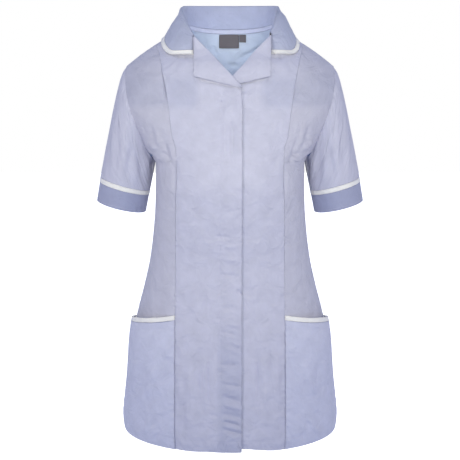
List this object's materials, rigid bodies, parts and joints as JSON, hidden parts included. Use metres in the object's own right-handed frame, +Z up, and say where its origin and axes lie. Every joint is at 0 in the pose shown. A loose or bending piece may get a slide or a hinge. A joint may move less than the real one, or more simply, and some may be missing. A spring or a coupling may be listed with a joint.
{
  "type": "zip-front tunic",
  "caption": "Short-sleeved healthcare tunic with a concealed front zip, contrast collar, cuffs and patch pockets edged in white braid, filled out as worn.",
  "frame": {"origin": "on the wearer's shoulders, midway between them, where the garment is held up", "axes": "+X towards the wearer's left, -Y out of the front, +Z up"},
  "size_m": [0.4866, 0.2804, 0.7844],
  "materials": {
    "tunic_cloth": "pale blue polyester and cotton twill, matt",
    "cuff_cloth": "blue twill, matt",
    "collar_cloth": "blue twill, matt",
    "neck_band_cloth": "blue twill, matt",
    "pocket_cloth": "blue twill, matt",
    "braid": "white woven braid",
    "label": "grey woven tape, bare",
    "zip_tape": "woven tape",
    "zip_nylon": "moulded nylon coil",
    "zip_metal": "satin die-cast"
  },
  "bodies": {
    "garment": {"back": "tunic_cloth", "collar": "collar_cloth", "collar_trim": "braid", "cuff_left": "cuff_cloth", "cuff_right": "cuff_cloth", "front_left": "tunic_cloth", "front_right": "tunic_cloth", "neck_band": "neck_band_cloth", "neck_label": "label", "pocket_left": "pocket_cloth", "pocket_right": "pocket_cloth", "pocket_trim_left": "braid", "pocket_trim_right": "braid", "revers_left": "tunic_cloth", "revers_right": "tunic_cloth", "side_front_left": "tunic_cloth", "side_front_right": "tunic_cloth", "size_tab": "label", "sleeve_left": "tunic_cloth", "sleeve_right": "tunic_cloth", "sleeve_trim_left": "braid", "sleeve_trim_right": "braid", "zip_chain": "zip_nylon", "zip_slider": "zip_metal", "zip_tape_left": "zip_tape", "zip_tape_right": "zip_tape"},
    "pull": {"zip_pull": "zip_metal"}
  },
  "joints": [
    {"name": "pull_tab", "type": "hinge", "parent": "garment", "child": "pull", "pos_m": [0, -0.10465, -0.10567], "axis": [-1, 0, 0], "range_deg": [0, 5]}
  ]
}
